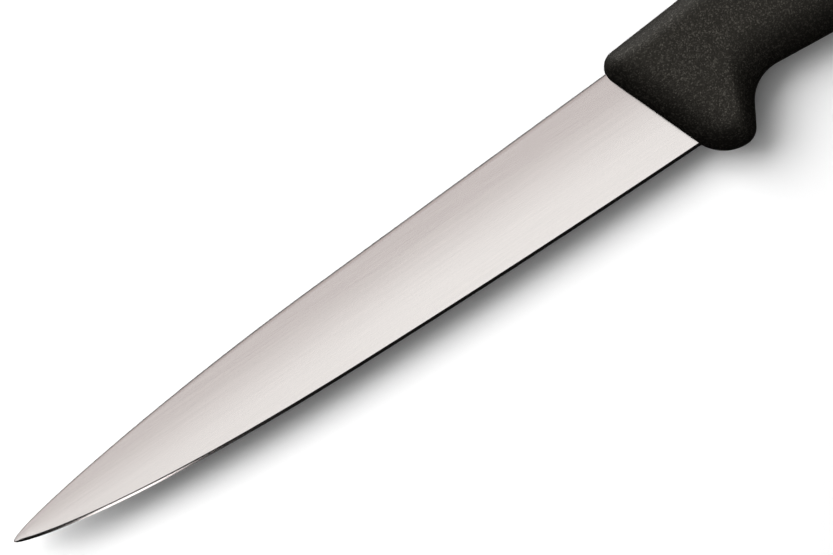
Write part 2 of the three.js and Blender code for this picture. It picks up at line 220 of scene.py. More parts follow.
class GripSizes(bpy.types.PropertyGroup):
    """Sizes of the grip: the corners of its outline, the radius of each, its section and its wall."""

    length: length("Length", 133, "From the front on the middle line to the butt")
    front_slant: angle("Front slant", 21, "How far the front leans back")
    slant_fade: length("Slant fade", 45, "Length over which the sections turn upright")
    back_height: length("Back height", 16.85, "Height of the back's straight line above the front")
    back_angle: angle("Back angle", 4, "How far the back rises to its crest")
    back_crest: length("Back crest", 60, "Place of the crest")
    back_crest_radius: length("Crest radius", 420, "Radius of the crest")
    back_front_radius: length("Front back radius", 4.3, "Radius of the front's upper corner")
    guard_depth: length("Guard depth", 18.65, "Depth of the finger guard")
    guard_length: length("Guard length", 16.6, "Place of the guard's rear corner")
    guard_front_radius: length("Guard front radius", 10.8, "Radius of the guard's front corner")
    guard_rear_radius: length("Guard rear radius", 4.5, "Radius of the guard's rear corner")
    notch_start: length("Notch start", 23.9, "Place of the finger notch")
    notch_depth: length("Notch depth", 6.25, "Depth of the outline in the notch")
    notch_radius: length("Notch radius", 10.1, "Radius of the notch")
    belly_depth: length("Belly depth", 10.3, "Depth of the belly")
    belly_from_neck: length("Belly from neck", 29, "Belly's place in front of the neck")
    belly_radius: length("Belly radius", 150, "Radius of the belly")
    neck_from_butt: length("Neck from butt", 36, "Neck's place in front of the butt")
    neck_depth: length("Neck depth", 8, "Depth of the outline at the neck")
    neck_radius: length("Neck radius", 28, "Radius of the neck")
    hook_from_butt: length("Hook from butt", 15, "Hook's place in front of the butt")
    hook_depth: length("Hook depth", 17, "Depth of the hook")
    hook_radius: length("Hook radius", 6, "Radius of the hook")
    butt_depth: length("Butt depth", 9, "Depth of the butt's lower corner")
    butt_low_radius: length("Lower butt radius", 12, "Radius of the butt's lower corner")
    butt_lean: length("Butt lean", 4.5, "How far the butt leans forwards at its top")
    butt_height: length("Butt height", 13.5, "Height of the butt's upper corner")
    butt_high_radius: length("Upper butt radius", 16, "Radius of the butt's upper corner")
    thickness: FloatProperty(
        name="Thickness",
        description="Thickness over the flat cheeks",
        default=GRIP_HIGH.z - GRIP_LOW.z,
        unit="LENGTH",
        precision=5,
    )
    lip: length("Front lip", 4, "Thickness of the front edge that closes on the blade")
    shoulder: length("Shoulder", 11.5, "Length over which the front swells to the full thickness")
    butt_round: length("Butt round", 10, "Length over which the butt closes")
    back_round: length("Back round", 6, "Height of the round back")
    belly_round: length("Belly round", 12, "Height of the round belly, from the finger notch on")
    guard_round: length("Guard round", 7.5, "Height of the round belly at the guard")
    wall: length("Wall", 2.3, "Thickness of the moulded grip over the core")
    blade_fit: length("Blade fit", 0.03, "Gap between the grip's mouth and the blade")
    seam_height: length("Seam height", 0.05, "Height of the mould's parting line")
    seam_width: length("Seam width", 0.2, "Half width of the mould's parting line")


class Finish(bpy.types.PropertyGroup):
    """Colours and finishes of the knife's materials."""

    steel: colour("Steel", (0.80, 0.742, 0.72), "Colour of the satin steel")
    steel_roughness: share("Steel roughness", 0.25, "Roughness of the satin faces")
    bevel_roughness: share("Bevel roughness", 0.1, "Roughness of the honed bevel")
    brush_pitch: length("Brush pitch", 0.45, "Mean distance between the brush lines")
    grip: colour("Grip", (0.003, 0.0027, 0.0022), "Colour of the grip")
    speck: colour("Specks", (0.06, 0.0557, 0.048), "Colour of the grip's bright specks")
    grip_roughness: share("Grip roughness", 0.6, "Roughness of the grip")
    grain_pitch: length("Grain pitch", 0.28, "Mean distance between the grip's grains")
    core: colour("Core", (0.016, 0.016, 0.016), "Colour of the moulded core")
    core_roughness: share("Core roughness", 0.5, "Roughness of the moulded core")


class Studio(bpy.types.PropertyGroup):
    """Camera, floor and lights."""

    lens: FloatProperty(
        name="Lens", description="Focal length in millimetres", default=120, unit="CAMERA"
    )
    view_width: length("View width", 194.5, "What the camera sees from left to right at the blade")
    view_x: length("View centre", -67.55, "Place along the blade in the middle of the view")
    view_y: length("View height", -1.36, "Height on the blade in the middle of the view")
    view_turn: angle("View turn", -34, "How far the camera is turned, so that the knife lies aslant")
    floor_side: length("Floor side", 12000, "Side of the floor")
    floor: colour("Floor", (0.92, 0.92, 0.92), "Colour of the floor")
    backdrop: share("Backdrop", 1.0, "Brightness of the backdrop as the camera sees it")
    ambient: share("Ambient", 0.004, "Brightness of the room as the knife and the floor see it")
    key: power("Key", 15.2, "Power of the softbox that lights the floor and casts the shadow")
    fill: power("Fill", 20.3, "Power of the wide softbox that fills the shadow")
    low_fill: power("Low fill", 20.3, "Power of the softbox that fills the shadow from one side")
    overhead: power("Overhead", 8.5, "Power of the softbox above the grip")
    strip: power("Strip", 10.6, "Power of the low softbox that the grip's back mirrors")
    ceiling: power("Ceiling", 1.65, "Power of the softbox that the blade mirrors from the spine on")
    card: power("Card", 1.81, "Power of the brighter softbox that the ground face mirrors")
    ceiling_tint: colour("Ceiling tint", (1.0, 0.912, 0.912), "Colour of the ceiling's light")
    card_tint: colour("Card tint", (0.96, 1.0, 1.0), "Colour of the card's light")
    glint: power("Glint", 0.12, "Power of the small light that the belly's bevel mirrors")
    side: power("Sides", 7.5, "Power of the blade's side lights for each metre of their height")


PROPERTY_GROUPS = {
    "knife_blade": BladeSizes,
    "knife_grip": GripSizes,
    "knife_finish": Finish,
    "knife_studio": Studio,
}


# Shapes


def knife_origin(blade, grip):
    """Where the blade's middle line enters the grip: a blade's length behind the tip, a guard's depth
    above the guard, and halfway through the grip."""
    return np.array(
        [
            BLADE_LOW.x + blade.length,
            GRIP_LOW.y + grip.guard_depth,
            (GRIP_LOW.z + GRIP_HIGH.z) / 2,
        ]
    )


def bezier(points):
    """Points of a Bezier curve: Bernstein's weights times the control points."""
    t = np.linspace(0, 1, CURVE_STEPS)[:, None]
    degree = len(points) - 1
    weights = [math.comb(degree, k) * t**k * (1 - t) ** (degree - k) for k in range(degree + 1)]
    return sum(weight * np.array(point) for weight, point in zip(weights, points))


def blade_outline(blade, x):
    """Heights of the spine and the edge at x.

    The spine is a straight line that a cubic curve leads to the tip. The edge is a shallow quadratic
    curve along the heel that another cubic curve leads to the tip.
    """
    tip = -blade.length
    start = tip + blade.point
    slope = math.tan(blade.spine_angle)
    spine_handle = start - blade.spine_rear_handle
    spine_start = blade.heel_spine + slope * start
    spine_point = bezier(
        [
            (tip, 0),
            (tip, blade.spine_tip_handle),
            (spine_handle, blade.heel_spine + slope * spine_handle),
            (start, spine_start),
        ]
    )
    edge_slope = 2 * (blade.heel_edge - blade.middle_edge) / (blade.heel_seat - start)
    edge_point = bezier(
        [
            (tip, 0),
            (tip, -blade.edge_tip_handle),
            (start - blade.edge_rear_handle, edge_slope * blade.edge_rear_handle - blade.middle_edge),
            (start, -blade.middle_edge),
        ]
    )
    edge_heel = bezier(
        [
            (start, -blade.middle_edge),
            ((start + blade.heel_seat) / 2, -blade.heel_edge),
            (blade.heel_seat, -blade.heel_edge),
        ]
    )
    edge_curve = np.vstack([edge_point, edge_heel[1:]])
    spine = np.where(x < start, np.interp(x, *spine_point.T), blade.heel_spine + slope * x)
    return spine, np.interp(x, *edge_curve.T)


def blade_section(blade, x):
    """Sizes of the blade's section at x, each an array like x: the heights of the spine and the edge,
    the half thickness of the spine and of the bevel's start, and the heights of the parts between."""
    spine, edge = blade_outline(blade, x)
    width = spine - edge
    heel_width = blade.heel_spine + blade.heel_edge
    from_tip = x + blade.length
    thin = np.sqrt(np.clip(from_tip / blade.point_ease, 0, 1))
    stock = blade.tip_stock + (blade.stock - blade.tip_stock) * np.clip(from_tip / blade.taper, 0, 1)
    half = stock / 2 * thin
    flat = blade.flat * width / heel_width
    bevel = np.minimum(blade.bevel, BEVEL_SHARE * width)
    ground = width - flat - bevel
    corner_room = np.minimum(CORNER_HALF_SHARE * half, CORNER_WIDTH_SHARE * width)
    return {
        "spine": spine,
        "edge": edge,
        "half": half,
        "bevel_half": blade.bevel_stock / 2 * thin,
        "crown": blade.bevel_crown * thin,
        "corner": np.minimum(blade.corner, corner_room),
        "flat": flat,
        "blend": blade.blend * ground / (heel_width - blade.flat - blade.bevel),
        "bevel": bevel,
    }


def tang_section(blade, end, x):
    """Sizes of the tang's section at x, like the blade's: it flares to the heel in a fillet's quarter
    circle, ends in round corners, and has no grind and only a hint of a bevel."""
    root = blade.heel_seat
    flare = blade.root_fillet - np.clip(x - root, 0, blade.root_fillet)
    flare = blade.root_fillet - np.sqrt(blade.root_fillet**2 - flare**2)
    bite = np.clip(x - end + blade.tang_corner, 0, blade.tang_corner)
    bite = blade.tang_corner - np.sqrt(blade.tang_corner**2 - bite**2)
    reach = blade.tang_width / 2 + flare - bite
    half = np.full_like(x, blade.tang_stock / 2)
    return {
        "spine": blade.tang_middle + reach,
        "edge": blade.tang_middle - reach,
        "half": half,
        "bevel_half": half,
        "crown": 0 * half,
        "corner": TANG_CORNER_SHARE * half,
        "flat": reach / 2,
        "blend": reach / 2,
        "bevel": TANG_CORNER_SHARE * half,
    }


def grind_depth(section, down):
    """How far the ground face has fallen from the flat at a depth below the spine: nothing over the
    flat, a parabola over the blend, and a straight slope from there to the bevel."""
    ground = section["spine"] - section["edge"] - section["flat"] - section["bevel"]
    blend = np.maximum(section["blend"], MERGE_DISTANCE)
    slope = (section["half"] - section["bevel_half"]) / np.maximum(ground - blend / 2, MERGE_DISTANCE)
    into = np.clip(down - section["flat"], 0, None)
    return slope * np.where(into < blend, into**2 / (2 * blend), into - blend / 2)


def blade_rings(x, section):
    """Closed rings of points round the blade, one row for each x: along the spine, round its corner,
    down the flat, the blend and the grind, over the bevel to the edge, and back on the other side. The
    bevel is a straight slope with a parabola on it."""
    s = {name: values[:, None] for name, values in section.items()}
    spine_run = np.linspace(0, 1, SPINE_STEPS, endpoint=False)
    corner_turn = np.linspace(0, math.pi / 2, CORNER_STEPS, endpoint=False)
    flat_run = np.linspace(0, 1, FLAT_STEPS, endpoint=False)
    blend_run = np.linspace(0, 1, BLEND_STEPS, endpoint=False)
    grind_run = np.linspace(0, 1, GRIND_STEPS, endpoint=False)
    bevel_run = np.linspace(0, 1, BEVEL_STEPS + 1)
    width = s["spine"] - s["edge"]
    straight = width - s["flat"] - s["blend"] - s["bevel"]
    face = np.hstack(
        [
            s["corner"] + (s["flat"] - s["corner"]) * flat_run,
            s["flat"] + s["blend"] * blend_run,
            s["flat"] + s["blend"] + straight * grind_run,
        ]
    )
    down = np.hstack(
        [
            0 * spine_run + 0 * width,
            s["corner"] * (1 - np.cos(corner_turn)),
            face,
            width - s["bevel"] + s["bevel"] * bevel_run,
        ]
    )
    out = np.hstack(
        [
            (s["half"] - s["corner"]) * spine_run,
            s["half"] - s["corner"] * (1 - np.sin(corner_turn)),
            s["half"] - grind_depth(s, face),
            s["bevel_half"] * (1 - bevel_run) + s["crown"] * 4 * bevel_run * (1 - bevel_run),
        ]
    )
    height = s["spine"] - down
    height = np.hstack([height, height[:, -2:0:-1]])
    out = np.hstack([out, -out[:, -2:0:-1]])
    return np.stack([x[:, None] + 0 * height, height, out], axis=-1)


def rounded_outline(grip, inset):
    """The grip's outline moved inwards: two chains of points along the belly and the back, both from
    the middle of the front to the rearmost point.

    The outline is a polygon with a circular arc in each corner. Moving it inwards shifts each side
    along its normal, and turns each arc's radius down on a full corner and up on a hollow one.
    """
    slant = math.tan(grip.front_slant)
    rise = math.tan(grip.back_angle)
    neck = grip.length - grip.neck_from_butt
    front_top = grip.back_height / (1 + rise * slant)
    corners = np.array(
        [
            (grip.guard_depth * slant, -grip.guard_depth, grip.guard_front_radius),
            (grip.guard_length, -grip.guard_depth, grip.guard_rear_radius),
            (grip.notch_start, -grip.notch_depth, grip.notch_radius),
            (neck - grip.belly_from_neck, -grip.belly_depth, grip.belly_radius),
            (neck, -grip.neck_depth, grip.neck_radius),
            (grip.length - grip.hook_from_butt, -grip.hook_depth, grip.hook_radius),
            (grip.length, -grip.butt_depth, grip.butt_low_radius),
            (grip.length - grip.butt_lean, grip.butt_height, grip.butt_high_radius),
            (grip.back_crest, grip.back_height + rise * grip.back_crest, grip.back_crest_radius),
            (-slant * front_top, front_top, grip.back_front_radius),
        ]
    )
    point = corners[:, :2]
    after = np.roll(point, -1, axis=0) - point
    after /= np.linalg.norm(after, axis=1, keepdims=True)
    before = np.roll(after, 1, axis=0)
    turn = before[:, 0] * after[:, 1] - before[:, 1] * after[:, 0]
    shift = inset * (1 - (before * after).sum(axis=1)) / turn
    inward = inset * np.stack([-before[:, 1], before[:, 0]], axis=1)
    point = point + inward - shift[:, None] * before
    radius = corners[:, 2] - np.sign(turn) * inset

    side = np.linalg.norm(np.roll(point, -1, axis=0) - point, axis=1)
    half_angle = (math.pi - np.arccos(np.clip((before * after).sum(axis=1), -1, 1))) / 2
    reach = radius / np.tan(half_angle)
    room_after = side / (reach + np.roll(reach, -1))
    room = np.minimum(1, np.minimum(room_after, np.roll(room_after, 1)))
    reach = reach * room
    radius = reach * np.tan(half_angle)
    start = point - before * reach[:, None]
    normal = np.stack([-before[:, 1], before[:, 0]], axis=1) * np.sign(turn)[:, None]
    centre = start + normal * radius[:, None]
    sweep = np.sign(turn) * (math.pi - 2 * half_angle)
    steps = np.linspace(0, 1, ARC_STEPS)
    begin = np.arctan2(-normal[:, 1], -normal[:, 0])
    angles = begin[:, None] + sweep[:, None] * steps
    arcs = centre[:, None] + radius[:, None, None] * np.stack([np.cos(angles), np.sin(angles)], axis=-1)
    front = (point[0] + point[-1]) / 2
    outline = np.vstack([front, arcs.reshape(-1, 2), front])
    rear = outline[:, 0].argmax()
    return outline[: rear + 1], outline[rear:][::-1]


def crossings(chain, x, lean):
    """Where a chain of points first crosses each of the leaning lines X + lean * Y = x."""
    along = chain[:, 0] + lean[:, None] * chain[:, 1] - x[:, None]
    i = ((along[:, :-1] <= 0) & (along[:, 1:] > 0)).argmax(axis=1)
    row = np.arange(len(x))
    t = along[row, i] / (along[row, i] - along[row, i + 1])
    return chain[i] + t[:, None] * (chain[i + 1] - chain[i])


def ease_step(t):
    """Smooth step from 0 to 1 as t goes from 0 to 1."""
    t = np.clip(t, 0, 1)
    return t * t * (3 - 2 * t)


def ease_round(t):
    """Quarter of an ellipse that rises from 0 to 1 as t goes from 0 to 1."""
    return np.sqrt(1 - (1 - np.clip(t, 0, 1)) ** 2)


def grip_rings(grip, inset, seam):
    """Rings of points round the grip, moved inwards, one row for each station from front to butt.

    A station's section lies on a line that leans like the front and turns upright behind it. The
    section has a quarter ellipse at the back, a flat cheek and a quarter ellipse at the belly, and is
    the same on both sides. The belly's ellipse is lower at the guard than behind it. The section's half
    thickness swells from the lip over an elliptic shoulder and closes over the butt in an ellipse. A
    seam stands out along the middle of the back and the belly, as high as a bell curve over its
    distance from the middle plane.
    """
    belly_chain, back_chain = rounded_outline(grip, inset)
    slant = math.tan(grip.front_slant)
    front = belly_chain[0, 0] + slant * belly_chain[0, 1]
    rear = belly_chain[-1, 0]
    butt = rear + inset
    steps = (1 - np.cos(math.pi * (np.arange(GRIP_STATIONS) + 0.5) / GRIP_STATIONS)) / 2
    x = front + (rear - front) * steps
    lean = slant * (1 - ease_step(x / grip.slant_fade))
    low = crossings(belly_chain, x, lean)
    rise = crossings(back_chain, x, lean) - low
    height = np.linalg.norm(rise, axis=1)[:, None]
    rise /= height

    behind = ease_step((x - grip.shoulder) / (grip.notch_start - grip.shoulder))[:, None]
    belly_round = grip.guard_round + (grip.belly_round - grip.guard_round) * behind
    fit = np.minimum(1, height / (grip.back_round + belly_round - 2 * inset))
    back = (grip.back_round - inset) * fit
    belly = (belly_round - inset) * fit
    swell = grip.lip / 2 + (grip.thickness - grip.lip) / 2 * ease_round(x / grip.shoulder)
    half = (swell * ease_round((butt - x) / grip.butt_round) - inset)[:, None]
    back_turn = math.pi / 2 * np.linspace(0, 1, BACK_STEPS, endpoint=False) ** SEAM_CROWDING
    cheek_run = np.linspace(0, 1, CHEEK_STEPS, endpoint=False)
    belly_turn = math.pi / 2 * (1 - np.linspace(1, 0, BELLY_STEPS + 1) ** SEAM_CROWDING)
    up = np.hstack(
        [
            height - back * (1 - np.cos(back_turn)),
            height - back + (belly - height + back) * cheek_run,
            belly * (1 - np.sin(belly_turn)),
        ]
    )
    out = np.hstack(
        [half * np.sin(back_turn), half + 0 * cheek_run, half * np.cos(belly_turn)]
    )
    ridge = seam * np.exp(-((out / grip.seam_width) ** 2)) * np.minimum(1, half / grip.lip)
    up = up + np.where(up > height / 2, ridge, -ridge)
    up = np.hstack([up, up[:, -2:0:-1]])
    out = np.hstack([out, -out[:, -2:0:-1]])
    flat = low[:, None] + rise[:, None] * up[..., None]
    return np.concatenate([flat, out[..., None]], axis=-1)


def front_line(grip, y):
    """Where the grip's outline lies in front at each height: on its slanted line, or on the arcs that
    round the line's two ends."""
    belly, back = rounded_outline(grip, 0)
    lower = belly[: belly[:, 1].argmin() + 1][::-1]
    upper = back[1 : back[:, 1].argmax() + 1]
    x_line, y_line = np.vstack([lower, upper]).T
    return np.interp(y, y_line, x_line)


def mouth_ring(blade, grip, ring):
    """Ring on the grip's front that closes on the blade: each point of the front's own ring keeps its
    share of the height, between the spine and the edge, and lies just clear of the blade there."""
    share_up = (ring[:, 1] - ring[:, 1].min()) / np.ptp(ring[:, 1])
    ends = front_line(grip, np.array([blade.heel_spine, -blade.heel_edge]))
    spine, edge = blade_outline(blade, ends)
    low = edge[1] - grip.blade_fit
    y = low + (spine[0] + grip.blade_fit - low) * share_up
    x = front_line(grip, y)
    section = blade_section(blade, x)
    down = np.clip(section["spine"] - y, 0, section["spine"] - section["edge"])
    body = section["half"] - grind_depth(section, down)
    bevel_share = np.clip((y - section["edge"]) / section["bevel"], 0, 1)
    body = np.where(bevel_share < 1, section["bevel_half"] * bevel_share, body)
    side = np.sign(np.round(ring[:, 2], MERGE_DIGITS))
    return np.stack([x, y, side * (body + grip.blade_fit)], axis=1)


def tube_mesh(name, rings, sharp_columns=()):
    """Mesh over rows of closed rings. A row that is drawn together to a point or a line closes its end,
    because its doubled points are merged. Edges along the sharp columns stay crisp."""
    rows, columns = rings.shape[:2]
    corner = np.arange(rows * columns).reshape(rows, columns)
    beside = np.roll(corner, -1, axis=1)
    faces = np.stack([corner[:-1], beside[:-1], beside[1:], corner[1:]], axis=-1).reshape(-1, 4)
    mesh = bpy.data.meshes.new(name)
    mesh.vertices.add(rows * columns)
    mesh.vertices.foreach_set("co", rings.astype(np.float32).ravel())
    mesh.loops.add(faces.size)
    mesh.loops.foreach_set("vertex_index", faces.astype(np.int32).ravel())
    mesh.polygons.add(len(faces))
    mesh.polygons.foreach_set("loop_start", np.arange(0, faces.size, 4, dtype=np.int32))
    mesh.polygons.foreach_set("use_smooth", np.ones(len(faces), dtype=bool))
    mesh.update(calc_edges=True)
    ends = np.empty(2 * len(mesh.edges), dtype=np.int32)
    mesh.edges.foreach_get("vertices", ends)
    column = ends.reshape(-1, 2) % columns
    sharp = (column[:, 0] == column[:, 1]) & np.isin(column[:, 0], sharp_columns)
    mesh.edges.foreach_set("use_edge_sharp", sharp)
    return mesh


def merge_doubles(mesh):
    """Merges the points that lie on each other, which closes the ends of a tube."""
    work = bmesh.new()
    work.from_mesh(mesh)
    bmesh.ops.remove_doubles(work, verts=work.verts, dist=MERGE_DISTANCE)
    work.to_mesh(mesh)
    work.free()


def drill(piece, middles, radius, reach):
    """Cuts round holes along Z through a piece: each is a cylinder, a circle drawn out both ways from
    the hole's middle, that is taken away from the piece. The holes' rims become sharp edges."""
    turn = np.linspace(0, 2 * math.pi, HOLE_SIDES, endpoint=False)
    circle = radius * np.stack([np.cos(turn), np.sin(turn), 0 * turn], axis=-1)
    cylinder = np.stack([0 * circle, circle, circle, 0 * circle])
    cylinder[:, :, 2] = reach * np.array([-1, -1, 1, 1])[:, None]
    for middle in middles:
        mesh = tube_mesh("hole", cylinder + middle)
        merge_doubles(mesh)
        cutter = bpy.data.objects.new("hole", mesh)
        bpy.context.scene.collection.objects.link(cutter)
        cut = piece.modifiers.new("hole", "BOOLEAN")
        cut.operation = "DIFFERENCE"
        cut.solver = "EXACT"
        cut.object = cutter
        with bpy.context.temp_override(object=piece, active_object=piece):
            bpy.ops.object.modifier_apply(modifier=cut.name)
        bpy.data.objects.remove(cutter)
        bpy.data.meshes.remove(mesh)
    edges = piece.data.edges
    kept = np.empty(len(edges), dtype=bool)
    edges.foreach_get("use_edge_sharp", kept)
    piece.data.set_sharp_from_angle(angle=RIM_ANGLE)
    rims = np.empty(len(edges), dtype=bool)
    edges.foreach_get("use_edge_sharp", rims)
    edges.foreach_set("use_edge_sharp", kept | rims)


def add_piece(name, mesh, node):
    """Puts a finished mesh into the scene as the piece that stands for a node."""
    piece = bpy.data.objects.new(name, mesh)
    bpy.context.scene.collection.objects.link(piece)
    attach(piece, "root")
    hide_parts(node)
    return piece


# Materials


def place(tree, kind, inputs=None, **settings):
    """A new node with its settings made and its inputs set or linked."""
    node = tree.nodes.new(kind)
    for name, value in settings.items():
        setattr(node, name, value)
    for name, value in (inputs or {}).items():
        if isinstance(value, bpy.types.NodeSocket):
            tree.links.new(value, node.inputs[name])
        else:
            node.inputs[name].default_value = value
    return node


def new_group(name, inputs, outputs):
    """An empty shader node group with its sockets, and its two end nodes."""
    tree = bpy.data.node_groups.new(name, "ShaderNodeTree")
    for in_out, sockets in (("INPUT", inputs), ("OUTPUT", outputs)):
        for label, kind in sockets.items():
            tree.interface.new_socket(name=label, in_out=in_out, socket_type=kind)
    return tree, tree.nodes.new("NodeGroupInput"), tree.nodes.new("NodeGroupOutput")


def brush_lines_group():
    """Fine lengthwise brush lines: noise that is drawn out along X shades the steel a little, and
    lifts and lowers its roughness and its surface."""
    name = "brush_lines"
    if name in bpy.data.node_groups:
        return bpy.data.node_groups[name]
    tree, given, result = new_group(
        name,
        {
            "Colour": "NodeSocketColor",
            "Roughness": "NodeSocketFloat",
            "Lines": "NodeSocketFloat",
            "Contrast": "NodeSocketFloat",
        },
        {"Colour": "NodeSocketColor", "Roughness": "NodeSocketFloat", "Height": "NodeSocketFloat"},
    )
    where = place(tree, "ShaderNodeTexCoord")
    drawn = place(
        tree, "ShaderNodeMapping", {"Vector": where.outputs["Object"], "Scale": BRUSH_SCALE}
    )
    fine = place(
        tree,
        "ShaderNodeTexNoise",
        {
            "Vector": drawn.outputs["Vector"],
            "Scale": given.outputs["Lines"],
            "Detail": BRUSH_DETAIL,
            "Roughness": BRUSH_ROUGHNESS,
        },
    )
    centred = place(
        tree, "ShaderNodeMath", {0: fine.outputs["Fac"], 1: 0.5}, operation="SUBTRACT"
    )
    swing = place(
        tree,
        "ShaderNodeMath",
        {0: centred.outputs["Value"], 1: given.outputs["Contrast"]},
        operation="MULTIPLY",
    )
    bright = place(tree, "ShaderNodeMath", {0: swing.outputs["Value"], 1: 1.0}, operation="ADD")
    shaded = place(
        tree,
        "ShaderNodeVectorMath",
        {0: given.outputs["Colour"], "Scale": bright.outputs["Value"]},
        operation="SCALE",
    )
    rough = place(
        tree,
        "ShaderNodeMath",
        {0: given.outputs["Roughness"], 1: bright.outputs["Value"]},
        operation="MULTIPLY",
    )
    tree.links.new(shaded.outputs["Vector"], result.inputs["Colour"])
    tree.links.new(rough.outputs["Value"], result.inputs["Roughness"])
    tree.links.new(fine.outputs["Fac"], result.inputs["Height"])
    return tree


def moulded_grain_group():
    """Fine moulded grain: small round cells stand out of the surface, some cells are specks that are
    brighter and smoother than the rest, and soft noise makes the colour between them uneven."""
    name = "moulded_grain"
    if name in bpy.data.node_groups:
        return bpy.data.node_groups[name]
    tree, given, result = new_group(
        name,
        {
            "Colour": "NodeSocketColor",
            "Speck Colour": "NodeSocketColor",
            "Roughness": "NodeSocketFloat",
            "Grains": "NodeSocketFloat",
            "Rarity": "NodeSocketFloat",
        },
        {"Colour": "NodeSocketColor", "Roughness": "NodeSocketFloat", "Height": "NodeSocketFloat"},
    )
    where = place(tree, "ShaderNodeTexCoord")
    cells = place(
        tree,
        "ShaderNodeTexVoronoi",
        {"Vector": where.outputs["Object"], "Scale": given.outputs["Grains"], "Randomness": 1.0},
    )
    soft = place(
        tree,
        "ShaderNodeTexNoise",
        {
            "Vector": where.outputs["Object"],
            "Scale": given.outputs["Grains"],
            "Detail": GRAIN_DETAIL,
        },
    )
    chance = place(tree, "ShaderNodeSeparateColor", {"Color": cells.outputs["Color"]})
    speck = place(
        tree,
        "ShaderNodeMath",
        {0: chance.outputs["Red"], 1: given.outputs["Rarity"]},
        operation="POWER",
    )
    uneven = place(
        tree,
        "ShaderNodeMapRange",
        {
            "Value": soft.outputs["Fac"],
            "From Min": GROUND_NOISE[0],
            "From Max": GROUND_NOISE[1],
            "To Min": GROUND_SPREAD[0],
            "To Max": GROUND_SPREAD[1],
        },
    )
    ground = place(
        tree,
        "ShaderNodeVectorMath",
        {0: given.outputs["Colour"], "Scale": uneven.outputs["Result"]},
        operation="SCALE",
    )
    tinted = place(
        tree,
        "ShaderNodeMixRGB",
        {
            "Fac": speck.outputs["Value"],
            "Color1": ground.outputs["Vector"],
            "Color2": given.outputs["Speck Colour"],
        },
    )
    tree.links.new(tinted.outputs["Color"], result.inputs["Colour"])
    rough = place(
        tree,
        "ShaderNodeMath",
        {0: speck.outputs["Value"], 1: SPECK_SMOOTHING, 2: given.outputs["Roughness"]},
        operation="MULTIPLY_ADD",
    )
    bump = place(
        tree,
        "ShaderNodeMath",
        {0: soft.outputs["Fac"], 1: cells.outputs["Distance"]},
        operation="SUBTRACT",
    )
    tree.links.new(rough.outputs["Value"], result.inputs["Roughness"])
    tree.links.new(bump.outputs["Value"], result.inputs["Height"])
    return tree


def finished_material(name, group, values, bump, principled):
    """A material whose Principled shader takes its colour, roughness and bump from a node group, and
    whose other sockets hold plain numbers."""
    material = bpy.data.materials.new(name)
    material.use_nodes = True
    tree = material.node_tree
    shader = tree.nodes["Principled BSDF"]
    for socket, value in principled.items():
        shader.inputs[socket].default_value = value
    effect = tree.nodes.new("ShaderNodeGroup")
    effect.node_tree = group
    for socket, value in values.items():
        effect.inputs[socket].default_value = value
    relief = place(
        tree,
        "ShaderNodeBump",
        {"Height": effect.outputs["Height"], "Strength": 1.0, "Distance": bump},
    )
    tree.links.new(effect.outputs["Colour"], shader.inputs["Base Color"])
    tree.links.new(effect.outputs["Roughness"], shader.inputs["Roughness"])
    tree.links.new(relief.outputs["Normal"], shader.inputs["Normal"])
    return material


def brushed_steel(name, finish, roughness, contrast):
    """Steel with fine brush lines along the blade."""
    values = {
        "Colour": (*finish.steel, 1),
        "Roughness": roughness,
        "Lines": 1 / finish.brush_pitch,
        "Contrast": contrast,
    }
    return finished_material(name, brush_lines_group(), values, BRUSH_HEIGHT, {"Metallic": 1.0})


def satin_steel(finish):
    """The steel of the blade's faces."""
    return brushed_steel("satin_steel", finish, finish.steel_roughness, SATIN_CONTRAST)


def honed_bevel(finish):
    """The same steel, honed smooth along the cutting edge."""
    return brushed_steel("honed_bevel", finish, finish.bevel_roughness, BEVEL_CONTRAST)


def grained_grip(finish):
    """Matt black moulded grip with a fine grain and small bright specks."""
    values = {
        "Colour": (*finish.grip, 1),
        "Speck Colour": (*finish.speck, 1),
        "Roughness": finish.grip_roughness,
        "Grains": 1 / finish.grain_pitch,
        "Rarity": GRIP_RARITY,
    }
    return finished_material(
        "grained_grip",
        moulded_grain_group(),
        values,
        GRIP_HEIGHT,
        {"Specular IOR Level": GRIP_SPECULAR, "Specular Tint": GRIP_SPECULAR_TINT},
    )


def moulded_core(finish):
    """Plain dark moulding with a faint grain."""
    values = {
        "Colour": (*finish.core, 1),
        "Speck Colour": (*finish.core, 1),
        "Roughness": finish.core_roughness,
        "Grains": CORE_FINENESS / finish.grain_pitch,
        "Rarity": CORE_RARITY,
    }
    return finished_material("moulded_core", moulded_grain_group(), values, CORE_HEIGHT, {})


# Operators


